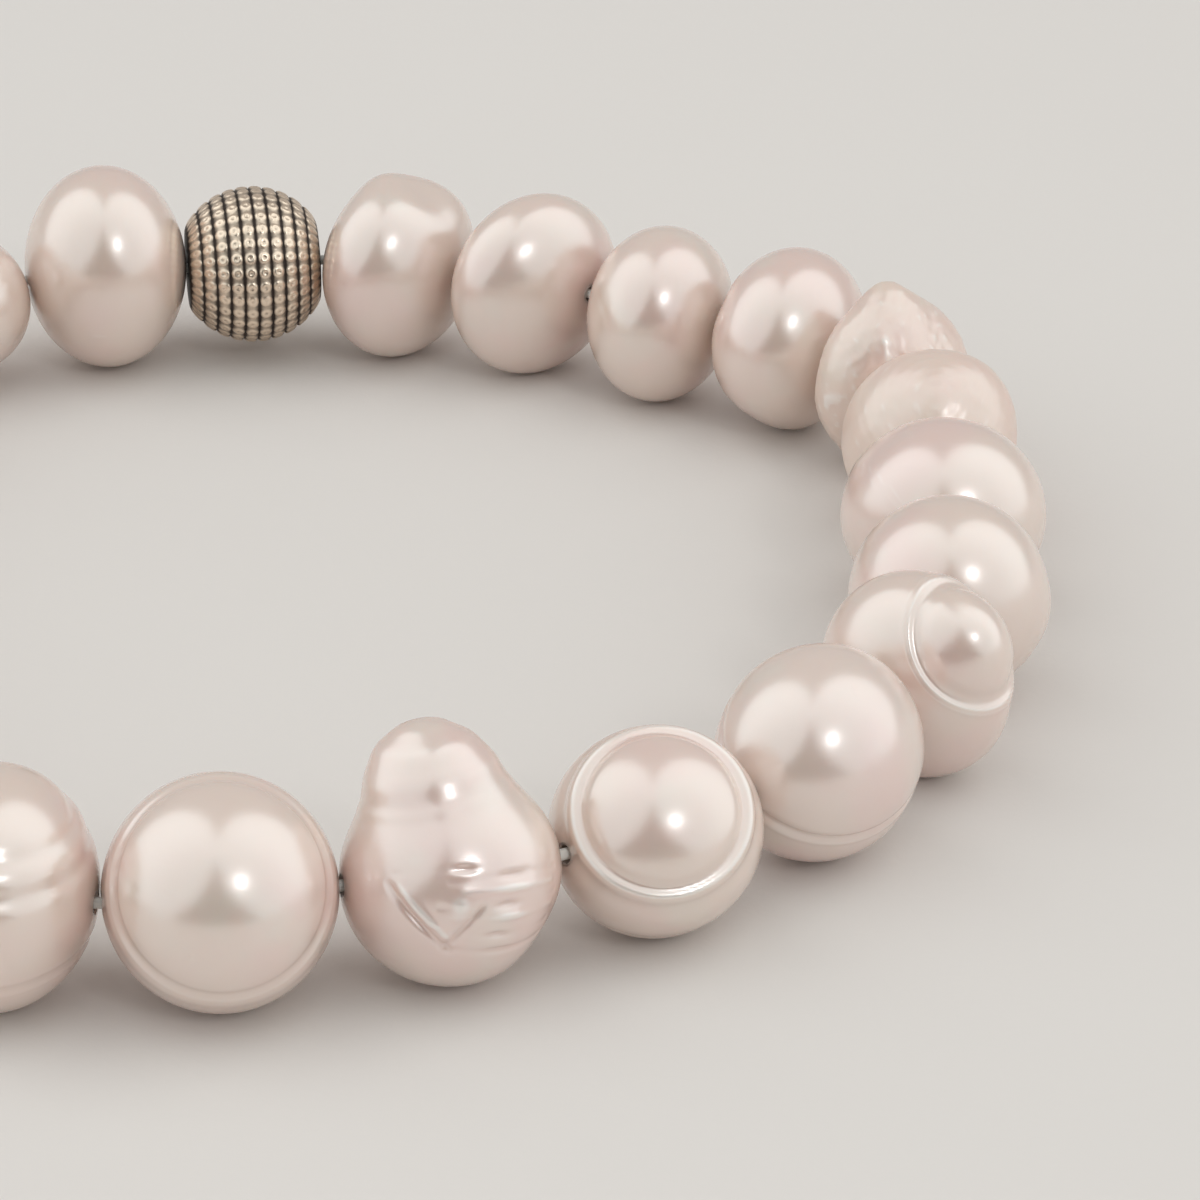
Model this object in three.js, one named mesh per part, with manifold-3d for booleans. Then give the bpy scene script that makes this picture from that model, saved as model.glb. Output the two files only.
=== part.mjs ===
// Pearl bracelet: drilled baroque pearls and one granulated silver bead on an elastic cord,
// lying in a ring. Millimetres, +Z up. The string runs clockwise as seen from above.

import * as THREE from 'three';
import { mergeVertices } from 'three/addons/utils/BufferGeometryUtils.js';
import Module from 'manifold-3d';

const wasm = await Module();
wasm.setup();

// Driving sizes
const PEARL_SIZE = 9.2; // usual diameter, which the pearls' shares are taken of
const CORD_DIAMETER = 0.5;
const BORE_CLEARANCE = 0.15; // air round the cord inside each bead
const BEAD_GAP = 0.05; // air between neighbouring beads
const STRING_HEIGHT = 4.9; // height of the bores above the surface below
const OFF_CENTRE_LIMIT = 0.45; // furthest that a bore runs above or below a pearl's middle
const SILVER_LENGTH = 6.8;
const SILVER_DIAMETER = 8.2; // over the granules
const SILVER_END_DIAMETER = 4.1;
const GRANULE_RISE = 0.24;

// Counts and fineness
const GRANULE_RINGS = 10;
const GRANULES_ROUND = 32;
const GRANULE_RING_SPREAD = 30; // half the angle that the rings are shared out over
const PEARL_SIDES = 14;
const PEARL_ROW_STEP = 15; // degrees between rows of a smooth pearl
const PEARL_ROW_NEAREST = 4.5; // degrees, rows nearer than this become one
const BORE_SIDES = 8;
const CORD_SIDES = 8;
const OUTLINE_SIDES = 40; // a pearl's skin as it is sampled for spacing
const SETTLING_PASSES = 8;
const HALVINGS = 48;

const BORE_DIAMETER = CORD_DIAMETER + 2 * BORE_CLEARANCE;

// The way round, in compass bearings clockwise from the rear, with each point's distance from
// the middle as a share of the loop's size. The silver bead starts at the first point.
const ROUTE = [
  { bearing: -12, share: 0.985 },
  { bearing: 8, share: 1.003 },
  { bearing: 30, share: 0.977 },
  { bearing: 48, share: 1.047 },
  { bearing: 59, share: 1.1 },
  { bearing: 72, share: 1.033 },
  { bearing: 88, share: 0.967 },
  { bearing: 101, share: 1.008 },
  { bearing: 114, share: 1.014 },
  { bearing: 147, share: 1.009 },
  { bearing: 181, share: 1.011 },
  { bearing: 203, share: 1.09 },
  { bearing: 235, share: 1.0 },
  { bearing: 270, share: 0.99 },
  { bearing: 305, share: 0.985 },
  { bearing: 328, share: 1.035 },
];

// Marks on a pearl, in degrees, with each lift as a share of the radius there. A ring or a step
// lies at an angle from the pearl's growth axis. A bump lies where turn and rise point: turn
// runs from outward towards the way of travel, and rise runs up.
const bell = (value) => Math.exp(-value * value);
const ring = (at, wide, lift) => ({
  at,
  wide,
  swell: (direction, fromAxis) => lift * bell((fromAxis - at) / wide),
});
const step = (at, wide, lift) => ({
  at,
  wide,
  swell: (direction, fromAxis) => (lift * (1 + Math.tanh((fromAxis - at) / wide))) / 2,
});
const bump = (turn, rise, wide, lift) => ({
  swell: (direction) => lift * bell(angleBetween(direction, towards(turn, rise)) / wide),
});

// The pearls, clockwise from the silver bead, each size a share of the usual diameter. Skew turns
// a pearl's body about the vertical, away from the string.
const UPRIGHT = { turn: 0, rise: 90 };
const PEARLS = [
  { length: 0.75, depth: 1.05, height: 1.06, skew: 26, growth: UPRIGHT,
    marks: [bump(-50, 72, 18, 0.06), bump(78, 72, 24, -0.11), bump(72, 40, 18, 0.04)] },
  { length: 0.68, depth: 1.05, height: 1.05, skew: 27, growth: UPRIGHT, marks: [] },
  { length: 0.79, depth: 0.98, height: 0.99, skew: 0, growth: UPRIGHT,
    marks: [bump(-155, 22, 20, -0.025)] },
  { length: 0.81, depth: 1.03, height: 1.03, skew: 0, growth: UPRIGHT,
    marks: [bump(-121, 32, 14, -0.025), bump(-170, -50, 26, -0.07)] },
  { length: 0.62, depth: 0.92, height: 1.02, skew: 0, growth: UPRIGHT,
    marks: [bump(-90, 78, 15, 0.14), bump(42, 50, 28, -0.11), bump(170, -45, 34, -0.07),
      bump(-147, 15, 25, -0.05)] },
  { length: 0.81, depth: 0.95, height: 0.99, skew: 0, growth: { turn: 89, rise: 55 },
    marks: [bump(0, 55, 24, 0.04), bump(0, -10, 30, -0.05)] },
  { length: 0.95, depth: 1.08, height: 1.02, skew: 0, growth: { turn: -25, rise: 30 },
    marks: [step(118, 10, -0.035), bump(180, 45, 24, -0.045)] },
  { length: 0.91, depth: 1.0, height: 1.04, skew: 0, growth: { turn: -10, rise: 25 },
    marks: [bump(6, -9, 20, 0.03)] },
  { length: 0.75, depth: 0.99, height: 1.06, skew: 0, growth: { turn: 16, rise: 42 },
    marks: [ring(0, 24, 0.14), ring(36, 6, -0.045), ring(44, 4, 0.012), bump(-28, -6, 24, -0.09)] },
  { length: 1.07, depth: 0.96, height: 1.05, skew: 0, growth: { turn: 19, rise: 56 },
    marks: [ring(82, 3, -0.035), step(84, 3, -0.02), ring(104, 10, 0.012)] },
  { length: 1.01, depth: 0.97, height: 0.99, skew: 0, growth: { turn: 24, rise: 48 },
    marks: [ring(49, 4.5, -0.03), ring(56, 4.5, 0.03), ring(65, 6, -0.012), ring(101, 6, -0.02)] },
  { length: 1.02, depth: 0.98, height: 1.01, skew: 0, growth: { turn: 160, rise: 72 },
    marks: [ring(0, 19, 0.18), step(32, -12, 0.3), bump(128, 60, 12, 0.04),
      bump(-65, -30, 26, -0.06)] },
  { length: 1.07, depth: 1.09, height: 1.09, skew: 0, growth: { turn: 1, rise: 36 },
    marks: [ring(63, 4.5, -0.018), ring(71, 5, 0.01)] },
  { length: 0.96, depth: 1.11, height: 1.14, skew: 0, growth: UPRIGHT,
    marks: [ring(48, 5, -0.02), ring(66, 5, -0.022), ring(117, 4, -0.01)] },
  { length: 1.02, depth: 1.04, height: 1.07, skew: 0, growth: { turn: 0, rise: 70 },
    marks: [ring(70, 8, 0.012)] },
  { length: 1.0, depth: 1.03, height: 1.02, skew: 0, growth: UPRIGHT, marks: [] },
  { length: 0.99, depth: 1.0, height: 1.04, skew: 0, growth: { turn: 20, rise: 60 },
    marks: [ring(60, 8, -0.012)] },
  { length: 0.97, depth: 1.02, height: 1.0, skew: 0, growth: UPRIGHT, marks: [] },
  { length: 0.95, depth: 0.97, height: 1.01, skew: 0, growth: UPRIGHT, marks: [] },
  { length: 0.93, depth: 0.98, height: 0.98, skew: 0, growth: { turn: -15, rise: 65 },
    marks: [ring(65, 8, 0.012)] },
  { length: 0.92, depth: 0.94, height: 0.97, skew: 0, growth: UPRIGHT, marks: [] },
  { length: 0.88, depth: 0.84, height: 0.88, skew: 0, growth: UPRIGHT,
    marks: [bump(180, -60, 40, -0.1)] },
  { length: 0.91, depth: 1.04, height: 1.16, skew: 0, growth: UPRIGHT, marks: [] },
];

const pearlFinish = new THREE.MeshStandardMaterial({
  name: 'pearl', color: 0xf3e4d9, roughness: 0.22, metalness: 0,
});
const silverFinish = new THREE.MeshStandardMaterial({
  name: 'silver', color: 0x9a9186, roughness: 0.35, metalness: 1,
});
const cordFinish = new THREE.MeshStandardMaterial({
  name: 'elastic', color: 0xe6e2dc, roughness: 0.6, metalness: 0,
});

// Unit vector in a bead's own axes: x along the string, y outward, z up
function towards(turn, rise) {
  const across = THREE.MathUtils.degToRad(turn);
  const up = THREE.MathUtils.degToRad(rise);
  return new THREE.Vector3(
    Math.sin(across) * Math.cos(up),
    Math.cos(across) * Math.cos(up),
    Math.sin(up),
  );
}

function angleBetween(a, b) {
  return THREE.MathUtils.radToDeg(Math.acos(THREE.MathUtils.clamp(a.dot(b), -1, 1)));
}

// Distance from a pearl's middle to its skin: an ellipsoid, swollen or sunk by its marks
function skinRadius(direction, pearl) {
  const skew = THREE.MathUtils.degToRad(pearl.skew);
  const along = direction.x * Math.cos(skew) - direction.y * Math.sin(skew);
  const across = direction.x * Math.sin(skew) + direction.y * Math.cos(skew);
  const slope = Math.hypot(along / pearl.length, across / pearl.depth, direction.z / pearl.height);
  const plain = PEARL_SIZE / (2 * slope);
  const fromAxis = angleBetween(direction, towards(pearl.growth.turn, pearl.growth.rise));
  const swell = pearl.marks.reduce((sum, mark) => sum + mark.swell(direction, fromAxis), 1);
  return plain * swell;
}

// Angles of a pearl's rows from its growth axis: even steps, and rows on each ring and step
function rowAngles(pearl) {
  const wanted = pearl.marks
    .filter((mark) => mark.at > 0)
    .flatMap((mark) => [mark.at, mark.at - mark.wide, mark.at + mark.wide]);
  const rows = [0, 180];
  const even = Array.from({ length: 180 / PEARL_ROW_STEP }, (_, row) => row * PEARL_ROW_STEP);
  for (const angle of [...wanted, ...even]) {
    if (rows.every((row) => Math.abs(row - angle) >= PEARL_ROW_NEAREST)) rows.push(angle);
  }
  return rows.sort((a, b) => b - a);
}

// Welds a geometry's shared corners and drops the faces that vanish at its poles
function weld(geometry) {
  geometry.deleteAttribute('normal');
  geometry.deleteAttribute('uv');
  const welded = mergeVertices(geometry, 1e-4);
  const corners = welded.index.array;
  const kept = [];
  for (let i = 0; i < corners.length; i += 3) {
    const [a, b, c] = corners.slice(i, i + 3);
    if (a !== b && b !== c && c !== a) kept.push(a, b, c);
  }
  welded.setIndex(kept);
  return welded;
}

function toSolid(geometry) {
  const mesh = new wasm.Mesh({
    numProp: 3,
    vertProperties: new Float32Array(geometry.attributes.position.array),
    triVerts: new Uint32Array(geometry.index.array),
  });
  return new wasm.Manifold(mesh);
}

function toGeometry(solid) {
  const mesh = solid.getMesh();
  const geometry = new THREE.BufferGeometry();
  geometry.setAttribute('position', new THREE.BufferAttribute(mesh.vertProperties, 3));
  geometry.setIndex(new THREE.BufferAttribute(mesh.triVerts, 1));
  geometry.computeVertexNormals();
  return geometry;
}

function cornersOf(geometry) {
  const position = geometry.attributes.position;
  return Array.from({ length: position.count }, (_, i) =>
    new THREE.Vector3().fromBufferAttribute(position, i));
}

function reach(corners, direction) {
  return corners.reduce((most, corner) => Math.max(most, corner.dot(direction)), -Infinity);
}

// Cuts the bore for the cord through a body along its x axis
function drill(body) {
  const box = new THREE.Box3().setFromBufferAttribute(body.attributes.position);
  const length = 2 * (box.max.x - box.min.x);
  const bore = new THREE.CylinderGeometry(BORE_DIAMETER / 2, BORE_DIAMETER / 2, length, BORE_SIDES);
  bore.rotateY(Math.PI / BORE_SIDES);
  bore.rotateZ(Math.PI / 2);
  return toGeometry(toSolid(body).subtract(toSolid(weld(bore))));
}

// Moves each corner of a round body out or in to the pearl's skin
function fitSkin(body, pearl) {
  const position = body.attributes.position;
  for (let i = 0; i < position.count; i += 1) {
    const direction = new THREE.Vector3().fromBufferAttribute(position, i).normalize();
    const corner = direction.clone().multiplyScalar(skinRadius(direction, pearl));
    position.setXYZ(i, corner.x, corner.y, corner.z);
  }
  return body;
}

// A pearl drilled off its middle: its body moves up or down on the bore, as far as the drilling
// allows, until it touches the surface below. The outline is its skin sampled finely.
function makePearl(pearl) {
  const fine = cornersOf(fitSkin(new THREE.SphereGeometry(1, OUTLINE_SIDES, OUTLINE_SIDES), pearl));
  const depth = reach(fine, new THREE.Vector3(0, 0, -1));
  const shift = THREE.MathUtils.clamp(depth - STRING_HEIGHT, -OFF_CENTRE_LIMIT, OFF_CENTRE_LIMIT);
  return {
    body: pearlBody(pearl).translate(0, 0, shift),
    outline: fine.map((corner) => corner.setZ(corner.z + shift)),
  };
}

// A pearl's body, spun about its growth axis
function pearlBody(pearl) {
  const profile = rowAngles(pearl).map((angle) => {
    const fromAxis = THREE.MathUtils.degToRad(angle);
    return new THREE.Vector2(Math.sin(fromAxis), Math.cos(fromAxis));
  });
  profile[0].x = 0;
  profile[profile.length - 1].x = 0;
  const body = new THREE.LatheGeometry(profile, PEARL_SIDES);
  const growth = towards(pearl.growth.turn, pearl.growth.rise);
  body.applyQuaternion(new THREE.Quaternion().setFromUnitVectors(new THREE.Vector3(0, 1, 0), growth));
  return weld(fitSkin(body, pearl));
}

// The silver bead: a barrel that swells from its two flat ends, with rings of raised granules.
// Each granule is the one raised corner between its own ring's grooves and spokes.
function silverBody() {
  const halfLength = SILVER_LENGTH / 2;
  const endRadius = SILVER_END_DIAMETER / 2;
  const grooveRadius = SILVER_DIAMETER / 2 - GRANULE_RISE;
  const spread = THREE.MathUtils.degToRad(GRANULE_RING_SPREAD);
  const rows = 2 * GRANULE_RINGS;
  const profile = Array.from({ length: rows + 1 }, (_, row) => {
    const share = Math.sin(spread * ((2 * row) / rows - 1)) / Math.sin(spread);
    const swell = grooveRadius ** 2 - (grooveRadius ** 2 - endRadius ** 2) * share ** 2;
    return new THREE.Vector2(Math.sqrt(swell), halfLength * share);
  });
  const spokes = 2 * GRANULES_ROUND;
  const body = new THREE.LatheGeometry(
    [new THREE.Vector2(0, -halfLength), ...profile, new THREE.Vector2(0, halfLength)],
    spokes,
  );
  const position = body.attributes.position;
  const rowsAll = profile.length + 2;
  for (let i = 0; i < position.count; i += 1) {
    const row = (i % rowsAll) - 1;
    const spoke = Math.floor(i / rowsAll);
    if (row > 0 && row < rows && row % 2 === 1 && spoke % 2 === 1) {
      const stretch = 1 + GRANULE_RISE / Math.hypot(position.getX(i), position.getZ(i));
      position.setX(i, position.getX(i) * stretch);
      position.setZ(i, position.getZ(i) * stretch);
    }
  }
  body.rotateZ(-Math.PI / 2);
  return weld(body);
}

const routeCurve = new THREE.CatmullRomCurve3(
  ROUTE.map(({ bearing, share }) => {
    const angle = THREE.MathUtils.degToRad(bearing);
    return new THREE.Vector3(share * Math.sin(angle), share * Math.cos(angle), 0);
  }),
  true,
  'centripetal',
);

// Finds by halving where a rising function passes zero
function solveRising(low, high, height) {
  let below = low;
  let above = high;
  for (let i = 0; i < HALVINGS; i += 1) {
    const middle = (below + above) / 2;
    if (height(middle) < 0) below = middle;
    else above = middle;
  }
  return (below + above) / 2;
}

// Walks the sides of the string round the route at one size, and returns its joints and how
// much of the way round they take
function walkRoute(sides, size) {
  const joints = [routeCurve.getPoint(0).multiplyScalar(size)];
  let at = 0;
  for (const side of sides) {
    const from = joints[joints.length - 1];
    const distance = (way) => routeCurve.getPoint(way % 1).multiplyScalar(size).distanceTo(from);
    at = solveRising(at, at + 0.25, (way) => distance(way) - side);
    joints.push(routeCurve.getPoint(at % 1).multiplyScalar(size));
  }
  return { joints: joints.slice(0, -1), taken: at };
}

function layString(sides) {
  const usual = sides.reduce((sum, side) => sum + side, 0) / (2 * Math.PI);
  const size = solveRising(0.8 * usual, 1.2 * usual, (trial) => 1 - walkRoute(sides, trial).taken);
  return walkRoute(sides, size).joints;
}

// Settles the string. Each joint is a corner of the cord, and the plane that halves its bend
// parts the two beads there. A bead's back and front are the distances from its middle to the
// joints behind and ahead, along its own bore.
function settleString(outlines) {
  const count = outlines.length;
  const following = (i) => (i + 1) % count;
  const ahead = new THREE.Vector3(1, 0, 0);
  const behind = new THREE.Vector3(-1, 0, 0);
  let backs = outlines.map((corners) => reach(corners, behind) + BEAD_GAP / 2);
  let fronts = outlines.map((corners) => reach(corners, ahead) + BEAD_GAP / 2);
  let joints = [];
  let yaws = [];
  for (let pass = 0; pass < SETTLING_PASSES; pass += 1) {
    joints = layString(backs.map((back, i) => back + fronts[i]));
    yaws = joints.map((joint, i) => {
      const side = joints[following(i)].clone().sub(joint);
      return Math.atan2(side.y, side.x);
    });
    const bends = yaws.map((yaw, i) => {
      const turn = yaws[following(i)] - yaw;
      return Math.atan2(Math.sin(turn), Math.cos(turn));
    });
    const nextBacks = [];
    const nextFronts = [];
    bends.forEach((bend, i) => {
      const half = bend / 2;
      const leaving = new THREE.Vector3(Math.cos(half), Math.sin(half), 0);
      const entering = new THREE.Vector3(-Math.cos(half), Math.sin(half), 0);
      nextFronts[i] = (reach(outlines[i], leaving) + BEAD_GAP / 2) / Math.cos(half);
      nextBacks[following(i)] =
        (reach(outlines[following(i)], entering) + BEAD_GAP / 2) / Math.cos(half);
    });
    backs = nextBacks;
    fronts = nextFronts;
  }
  return { joints, yaws, backs };
}

// The cord: a ring with one corner at each joint, mitred so that its sides keep their width.
// The joints run clockwise and a torus is built the other way, so they are taken backwards.
function cordBody(joints) {
  const count = joints.length;
  const radius = CORD_DIAMETER / 2;
  const cord = new THREE.TorusGeometry(2 * radius, radius, CORD_SIDES, count);
  const position = cord.attributes.position;
  for (let i = 0; i < position.count; i += 1) {
    const station = i % (count + 1);
    const roll = (2 * Math.PI * Math.floor(i / (count + 1))) / CORD_SIDES;
    const joint = joints[(2 * count - station) % count];
    const before = joints[(2 * count - station - 1) % count];
    const after = joints[(2 * count - station + 1) % count];
    const arriving = joint.clone().sub(before).normalize();
    const leaving = after.clone().sub(joint).normalize();
    const along = arriving.clone().add(leaving).normalize();
    const mitre = radius / along.dot(arriving);
    const outward = new THREE.Vector3(-along.y, along.x, 0);
    const corner = joint.clone().addScaledVector(outward, mitre * Math.cos(roll));
    position.setXYZ(i, corner.x, corner.y, radius * Math.sin(roll));
  }
  const welded = weld(cord);
  welded.computeVertexNormals();
  return welded;
}

const twoDigits = (number) => String(number).padStart(2, '0');
const silver = silverBody();
const beads = [
  { name: 'silver_bead', body: silver, outline: cornersOf(silver), finish: silverFinish },
  ...PEARLS.map((pearl, i) => ({
    name: `pearl_${twoDigits(i + 1)}`,
    ...makePearl(pearl),
    finish: pearlFinish,
  })),
];
const { joints, yaws, backs } = settleString(beads.map((bead) => bead.outline));

const string = new THREE.Group();
beads.forEach((bead, i) => {
  const mesh = new THREE.Mesh(drill(bead.body), bead.finish.clone());
  mesh.name = bead.name;
  mesh.rotation.z = yaws[i];
  const along = new THREE.Vector3(Math.cos(yaws[i]), Math.sin(yaws[i]), 0);
  mesh.position.copy(joints[i]).addScaledVector(along, backs[i]);
  string.add(mesh);
});
const cord = new THREE.Mesh(cordBody(joints), cordFinish);
cord.name = 'elastic_cord';
string.add(cord);

// The bracelet stands on its lowest point, over the middle of its footprint
const bracelet = new THREE.Group();
bracelet.name = 'pearl_bracelet';
bracelet.add(string);
const extent = new THREE.Box3().setFromObject(bracelet, true);
const middle = extent.getCenter(new THREE.Vector3());
string.position.set(-middle.x, -middle.y, -extent.min.z);

export default bracelet;
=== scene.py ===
"""Pearl bracelet: drilled baroque pearls and one granulated silver bead, threaded on an elastic
cord and lying in a ring on a pale studio floor. Metres, +Z up."""

import math

import bpy
import numpy as np
from bpy.props import FloatProperty, FloatVectorProperty, IntProperty, PointerProperty
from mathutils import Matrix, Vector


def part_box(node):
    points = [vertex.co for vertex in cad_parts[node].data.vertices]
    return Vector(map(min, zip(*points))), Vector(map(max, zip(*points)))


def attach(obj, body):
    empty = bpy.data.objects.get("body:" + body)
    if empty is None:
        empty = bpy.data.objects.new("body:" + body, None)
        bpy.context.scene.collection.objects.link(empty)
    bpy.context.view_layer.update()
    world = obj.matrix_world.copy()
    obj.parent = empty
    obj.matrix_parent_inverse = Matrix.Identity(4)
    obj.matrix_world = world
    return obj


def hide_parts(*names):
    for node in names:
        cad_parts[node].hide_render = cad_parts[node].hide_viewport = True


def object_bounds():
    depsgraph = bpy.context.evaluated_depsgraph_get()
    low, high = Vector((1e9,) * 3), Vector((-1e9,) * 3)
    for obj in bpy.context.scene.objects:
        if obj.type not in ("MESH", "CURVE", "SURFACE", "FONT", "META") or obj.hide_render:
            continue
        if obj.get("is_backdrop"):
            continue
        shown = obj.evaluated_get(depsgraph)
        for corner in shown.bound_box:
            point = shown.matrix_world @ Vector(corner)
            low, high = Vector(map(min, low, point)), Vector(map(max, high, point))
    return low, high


bl_info = {
    "name": "Pearl Bracelet",
    "version": (1, 0, 0),
    "blender": (4, 5, 0),
    "location": "View3D > Sidebar > Bracelet",
    "description": "Baroque pearls and a granulated silver bead on an elastic cord",
    "category": "Add Mesh",
}

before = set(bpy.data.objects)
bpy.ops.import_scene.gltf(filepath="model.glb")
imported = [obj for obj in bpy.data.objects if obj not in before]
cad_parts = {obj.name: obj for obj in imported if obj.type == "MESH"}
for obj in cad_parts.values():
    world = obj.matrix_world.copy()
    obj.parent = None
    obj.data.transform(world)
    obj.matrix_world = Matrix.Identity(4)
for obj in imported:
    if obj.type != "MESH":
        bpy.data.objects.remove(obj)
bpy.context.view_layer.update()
CORD_NODE = "elastic_cord"
SILVER_NODE = "silver_bead"
BODY = "root"


# Directions and marks. A direction lies in a bead's own axes: x along the string, y outward, z up.
# Turn runs from outward towards the way of travel and rise runs up, both in degrees. Each mark is
# a share of the skin's radius that it lifts, worked out from the directions and from their angles
# to the pearl's growth axis. The marks' widths are in degrees too.

# Growth lines: the share of their half span that is even, and the width of the fade past it
LINES_EVEN = 0.8
LINES_FADE = 0.25

# Lumps: how far each of their three waves is bent by the next, how often, and where it starts
LUMP_BENDS = np.array((1.3, 1.1, 1.2))
LUMP_RATES = np.array((0.6, 0.7, 0.5))
LUMP_STARTS = np.array((0.0, 0.8, 1.9))


def towards(turn, rise):
    """Unit vector at a turn and a rise."""
    across, up = math.radians(turn), math.radians(rise)
    flat = math.cos(up)
    return np.array((math.sin(across) * flat, math.cos(across) * flat, math.sin(up)))


def angle_between(directions, axis):
    """Angle in degrees of each direction to an axis: the arc cosine of their dot product."""
    return np.degrees(np.arccos(np.clip(directions @ axis, -1, 1)))


def bell(value):
    """Bell curve, one at zero: e to the power of minus the square."""
    return np.exp(-value * value)


def unit(vectors):
    """Vectors divided by their lengths."""
    return vectors / np.linalg.norm(vectors, axis=-1, keepdims=True)


def ring(at, wide, lift):
    """Ridge or groove round the growth axis: a bell curve of the angle from it."""
    return lambda directions, from_axis: lift * bell((from_axis - at) / wide)


def step(at, wide, lift):
    """Step round the growth axis: a hyperbolic tangent of the angle from it, from none to all."""
    return lambda directions, from_axis: lift * (1 + np.tanh((from_axis - at) / wide)) / 2


def bump(turn, rise, wide, lift):
    """Round bump or dent: a bell curve of the angle from where turn and rise point."""
    middle = towards(turn, rise)
    return lambda directions, from_axis: lift * bell(angle_between(directions, middle) / wide)


def fold(start, end, wide, lift):
    """Fold along a straight line between two places: a bell curve of the angle to the nearest
    direction on the line, which is the start moved towards the end by a share from 0 to 1. It
    fades to nothing at both ends, by one less the fourth power of twice the share less one."""
    first, last = towards(*start), towards(*end)

    def swell(directions, from_axis):
        line = last - first
        share = np.clip((directions - first) @ line / (line @ line), 0, 1)
        nearest = unit(first + share[..., None] * line)
        angle = np.degrees(np.arccos(np.clip((directions * nearest).sum(-1), -1, 1)))
        return lift * (1 - (2 * share - 1) ** 4) * bell(angle / wide)

    return swell


def lines(first, last, count, lift):
    """Fine growth lines round the growth axis: a cosine of the angle from it, with so many waves
    between the first and last angle, times a bell curve that fades them out at both ends."""
    def swell(directions, from_axis):
        share = (from_axis - first) / (last - first)
        window = bell(np.clip(np.abs(2 * share - 1) - LINES_EVEN, 0, None) / LINES_FADE)
        return lift * window * np.cos(math.tau * count * share)

    return swell


def lumps(often, lift):
    """Soft lumps all over: the product of three sines, one of each coordinate times a rate, and
    each bent by a sine of the next coordinate."""
    def swell(directions, from_axis):
        places = directions * often
        bent = places + LUMP_BENDS * np.sin(LUMP_RATES * np.roll(places, -1, axis=-1))
        return lift * np.sin(bent + LUMP_STARTS).prod(axis=-1)

    return swell


# Growth axis of a pearl that grew evenly round the vertical
UPRIGHT = (0, 90)


class Pearl:
    """One pearl's form: its length along the string, depth outward and height as shares of the
    usual diameter, the skew of its body about the vertical in degrees, its growth axis as turn and
    rise, the marks that give its form, the fine marks on its skin, how chalky its skin is, how warm
    its tone is, and whether it lies close to the camera or hidden from it."""

    def __init__(self, length, depth, height, skew=0, growth=UPRIGHT, form=(), fine=(),
                 chalk=0.0, warmth=0.5, close=False, hidden=False):
        self.length, self.depth, self.height = length, depth, height
        self.skew, self.growth = math.radians(skew), growth
        self.form, self.fine = form, fine
        self.chalk, self.warmth = chalk, warmth
        self.close, self.hidden = close, hidden

    def swell(self, marks, directions):
        """Sum of the lifts of some marks at each direction."""
        from_axis = angle_between(directions, towards(*self.growth))
        return sum((mark(directions, from_axis) for mark in marks), np.zeros(directions.shape[:-1]))

    def skin(self, directions, size):
        """Distance from the middle to the skin: an ellipsoid's radius, which is half the usual
        diameter over the length of the direction divided by the three shares, times one and the
        lifts of all marks."""
        x, y, z = np.moveaxis(directions, -1, 0)
        along = x * math.cos(self.skew) - y * math.sin(self.skew)
        across = x * math.sin(self.skew) + y * math.cos(self.skew)
        slope = np.sqrt((along / self.length) ** 2 + (across / self.depth) ** 2
                        + (z / self.height) ** 2)
        lifts = self.swell([*self.form, *self.fine], directions)
        return size / (2 * slope) * (1 + lifts)


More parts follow.
